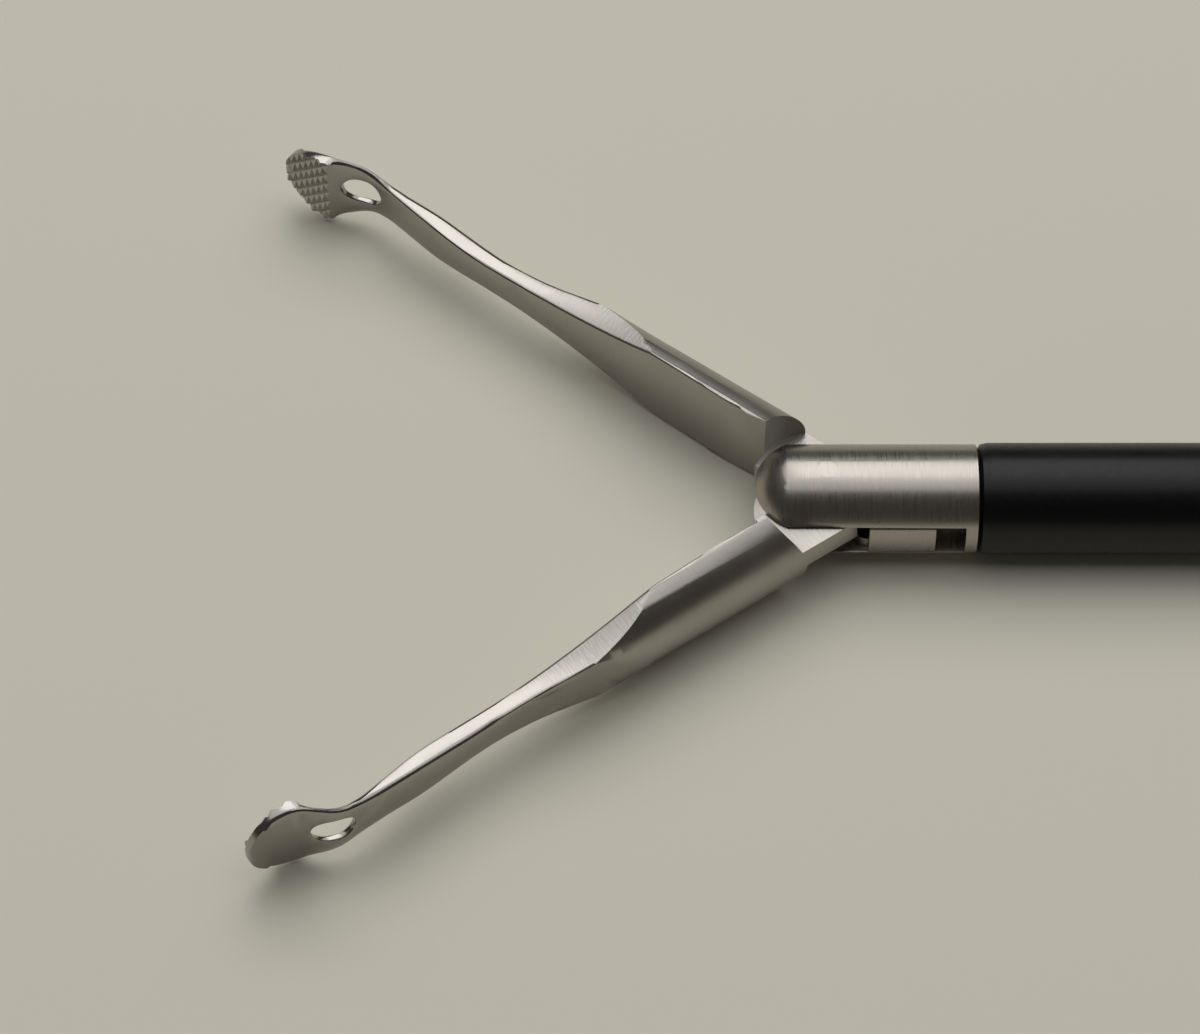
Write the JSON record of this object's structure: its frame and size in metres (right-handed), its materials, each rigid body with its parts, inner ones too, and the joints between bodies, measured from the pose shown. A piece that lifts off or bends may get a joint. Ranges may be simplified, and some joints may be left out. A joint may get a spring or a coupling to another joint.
{
  "type": "babcock forceps",
  "caption": "Working end of a slim keyhole-surgery grasper: fenestrated flared jaws hinged in a forked head, driven by a sliding pull rod, on a black insulated shaft.",
  "frame": {"origin": "on the shaft axis, at the front end of the black insulating sleeve, where it meets the clevis", "axes": "+X back along the shaft, away from the jaws; the jaws swing in the XY plane; +Z along the pivot pin, up as the instrument lies flat"},
  "size_m": [0.072, 0.0369, 0.005],
  "materials": {
    "jaw_steel": "satin, hand polished stainless steel",
    "clevis_steel": "bright polished stainless steel",
    "pin_steel": "ground stainless steel",
    "rod_steel": "ground stainless steel",
    "tube_steel": "drawn stainless tube",
    "insulation": "smooth black heat shrunk polymer",
    "bush_plastic": "turned engineering plastic, natural beige",
    "seal_rubber": "moulded black rubber"
  },
  "bodies": {
    "shaft": {"clevis": "clevis_steel", "pivot_pin": "pin_steel", "clevis_dowels": "pin_steel", "inner_tube": "tube_steel", "outer_tube": "tube_steel", "insulation_sleeve": "insulation", "front_bush": "bush_plastic", "front_seal_washer": "bush_plastic", "rod_seal": "seal_rubber", "rear_seal_washer": "bush_plastic", "rear_bush": "bush_plastic"},
    "upper_jaw": {"upper_jaw": "jaw_steel"},
    "lower_jaw": {"lower_jaw": "jaw_steel"},
    "drive": {"crosshead": "clevis_steel", "drive_pin": "pin_steel", "pull_rod": "rod_steel", "rod_pin": "pin_steel"}
  },
  "joints": [
    {"name": "upper_jaw_hinge", "type": "hinge", "parent": "shaft", "child": "upper_jaw", "pos_m": [-0.0068, 0, 0], "axis": [0, 0, 1], "range_deg": [0, 36.3]},
    {"name": "lower_jaw_hinge", "type": "hinge", "parent": "shaft", "child": "lower_jaw", "pos_m": [-0.0068, 0, 0], "axis": [0, 0, 1], "range_deg": [-35.1, 0]},
    {"name": "rod_slide", "type": "slide", "parent": "shaft", "child": "drive", "axis": [1, 0, 0], "range_m": [0, 0.0012]}
  ],
  "couplings": [
    {"joint": "lower_jaw_hinge", "follows": "upper_jaw_hinge", "ratio": -0.96694},
    {"joint": "rod_slide", "follows": "upper_jaw_hinge", "m_per_rad": 0.0018941}
  ]
}
